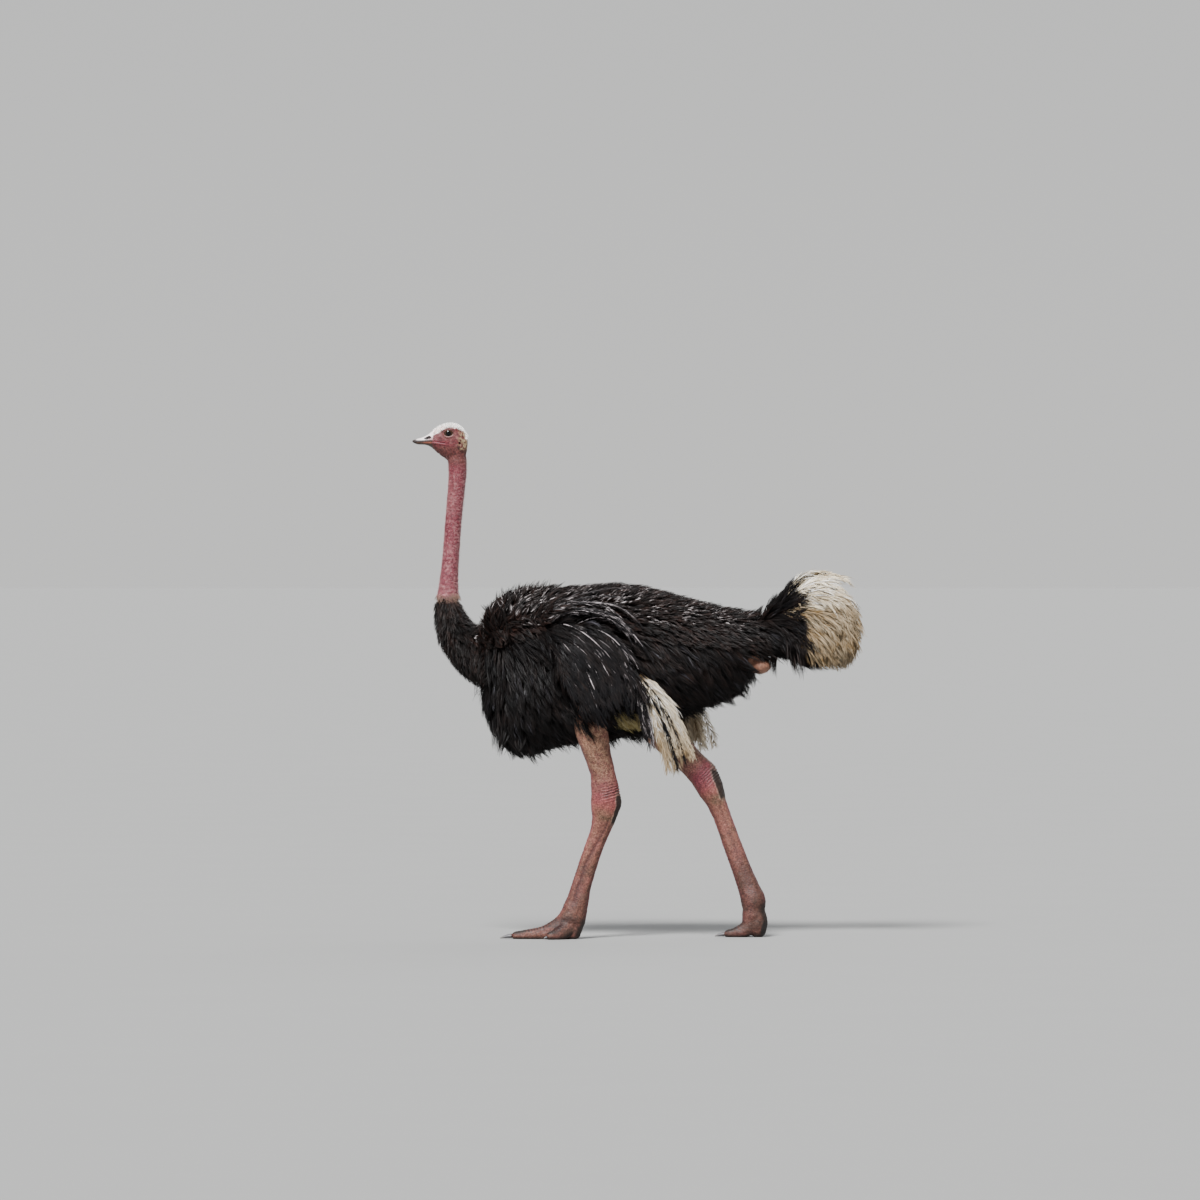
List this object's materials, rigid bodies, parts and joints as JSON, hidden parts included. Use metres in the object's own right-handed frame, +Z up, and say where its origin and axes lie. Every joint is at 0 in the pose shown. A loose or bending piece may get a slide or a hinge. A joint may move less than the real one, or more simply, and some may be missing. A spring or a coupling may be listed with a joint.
{
  "type": "ostrich",
  "caption": "Life-size museum model of a male Masai ostrich in mid stride, pink neck upright, black plumage, cream tail and wing plumes, standing on the soles of its own feet",
  "frame": {"origin": "centre of the whole bird's box, on the plane under its soles", "axes": "+Z up from the soles to the crown, +Y towards the bird's right side, the bird walks towards -X"},
  "size_m": [1.908, 0.628, 2.1492],
  "materials": {
    "skin_pink": "dry matt skin with fine white down",
    "horn": "satin horn, pale above and dark at the tip",
    "eye": "wet and glossy, dark brown",
    "black_plume": "loose soft plumes, black with a brown-grey gloss",
    "white_plume": "long loose plumes, cream-white and tan in the shade",
    "leg_skin": "dry finely pimpled skin, pink-red at the hock, scuted toes",
    "claw": "blunt satin horn, grey"
  },
  "bodies": {
    "root": {"head": "skin_pink", "bill_upper": "horn", "bill_lower": "horn", "eye_left": "eye", "eye_right": "eye", "neck_upper": "skin_pink", "neck_lower": "black_plume", "trunk": "black_plume", "wing_left": "black_plume", "wing_right": "black_plume", "quills_left": "white_plume", "quills_right": "white_plume", "tail_base": "black_plume", "tail_plumes": "white_plume", "drumstick_left": "leg_skin", "drumstick_right": "leg_skin", "shank_left": "leg_skin", "shank_right": "leg_skin", "heel_left": "leg_skin", "heel_right": "leg_skin", "toe_middle_left": "leg_skin", "toe_middle_right": "leg_skin", "toe_outer_left": "leg_skin", "toe_outer_right": "leg_skin", "claw_middle_left": "claw", "claw_middle_right": "claw", "claw_outer_left": "claw", "claw_outer_right": "claw"}
  },
  "joints": []
}
